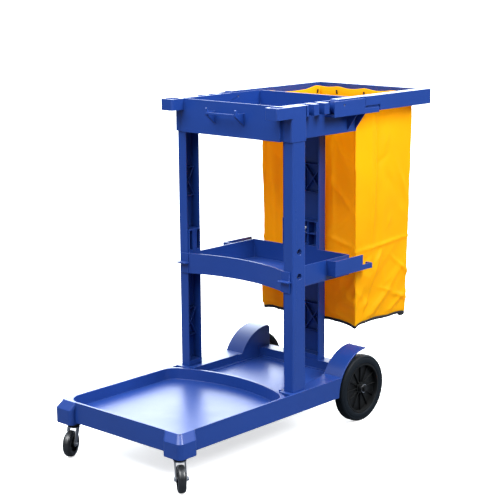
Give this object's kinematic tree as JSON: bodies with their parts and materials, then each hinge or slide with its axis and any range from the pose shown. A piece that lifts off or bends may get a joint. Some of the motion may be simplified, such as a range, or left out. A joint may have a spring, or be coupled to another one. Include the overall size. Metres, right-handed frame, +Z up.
{
  "type": "housekeeping cart",
  "caption": "Moulded plastic housekeeping cart with a bucket tray, middle shelf, top tray, swivel front casters, large rear wheels and a fold-up frame holding an open waste bag.",
  "frame": {"origin": "on the floor, at the centre of the cart's footprint", "axes": "+Z up, -Y towards the bucket tray and casters, +Y towards the waste bag, +X to the right of someone facing the bucket tray from the front"},
  "size_m": [0.5136, 1.1431, 0.9795],
  "materials": {
    "blue_plastic": "moulded, satin",
    "yellow_cloth": "coated cloth, satin",
    "black_plastic": "moulded, satin",
    "black_rubber": "matt",
    "zinc_steel": "zinc plated"
  },
  "bodies": {
    "cart": {"base_platform": "blue_plastic", "front_upright_left": "blue_plastic", "front_upright_right": "blue_plastic", "rear_upright": "blue_plastic", "middle_shelf": "blue_plastic", "top_tray": "blue_plastic", "bag_frame_pins": "zinc_steel", "tray_pegs": "black_plastic", "waste_bag": "yellow_cloth", "rear_axle": "zinc_steel", "axle_spacers": "black_plastic", "axle_washers": "zinc_steel", "axle_caps": "black_plastic", "caster_stem_left": "zinc_steel", "caster_stem_right": "zinc_steel", "caster_housing_left": "black_plastic", "caster_housing_right": "black_plastic", "base_screws": "zinc_steel", "shelf_screws": "zinc_steel", "tray_screws": "zinc_steel"},
    "bag_frame": {"bag_frame": "blue_plastic", "bag_frame_pegs": "black_plastic"},
    "rear_wheel_left": {"rear_wheel_left": "black_plastic", "rear_tyre_left": "black_rubber"},
    "rear_wheel_right": {"rear_wheel_right": "black_plastic", "rear_tyre_right": "black_rubber"},
    "caster_swivel_left": {"caster_race_left": "black_plastic", "caster_fork_left": "zinc_steel", "caster_bolt_left": "zinc_steel", "caster_nut_left": "zinc_steel"},
    "caster_roller_left": {"caster_wheel_left": "black_plastic", "caster_tyre_left": "black_rubber"},
    "caster_swivel_right": {"caster_race_right": "black_plastic", "caster_fork_right": "zinc_steel", "caster_bolt_right": "zinc_steel", "caster_nut_right": "zinc_steel"},
    "caster_roller_right": {"caster_wheel_right": "black_plastic", "caster_tyre_right": "black_rubber"}
  },
  "joints": [
    {"name": "bag_frame_fold", "type": "hinge", "parent": "cart", "child": "bag_frame", "pos_m": [0, 0.15242, 0.9625], "axis": [1, 0, 0], "range_deg": [0, 90]},
    {"name": "rear_wheel_left_spin", "type": "hinge", "parent": "cart", "child": "rear_wheel_left", "pos_m": [0, 0.25242, 0.1015], "axis": [1, 0, 0], "continuous": true},
    {"name": "rear_wheel_right_spin", "type": "hinge", "parent": "cart", "child": "rear_wheel_right", "pos_m": [0, 0.25242, 0.1015], "axis": [1, 0, 0], "continuous": true},
    {"name": "caster_left_swivel", "type": "hinge", "parent": "cart", "child": "caster_swivel_left", "pos_m": [-0.212, -0.51358, 0.08], "axis": [0, 0, 1], "continuous": true},
    {"name": "caster_left_roll", "type": "hinge", "parent": "caster_swivel_left", "child": "caster_roller_left", "pos_m": [-0.20305, -0.53368, 0.0375], "axis": [0.9135, 0.4067, 0], "continuous": true},
    {"name": "caster_right_swivel", "type": "hinge", "parent": "cart", "child": "caster_swivel_right", "pos_m": [0.212, -0.51358, 0.08], "axis": [0, 0, 1], "continuous": true},
    {"name": "caster_right_roll", "type": "hinge", "parent": "caster_swivel_right", "child": "caster_roller_right", "pos_m": [0.22934, -0.52713, 0.0375], "axis": [0.6157, 0.788, 0], "continuous": true}
  ]
}
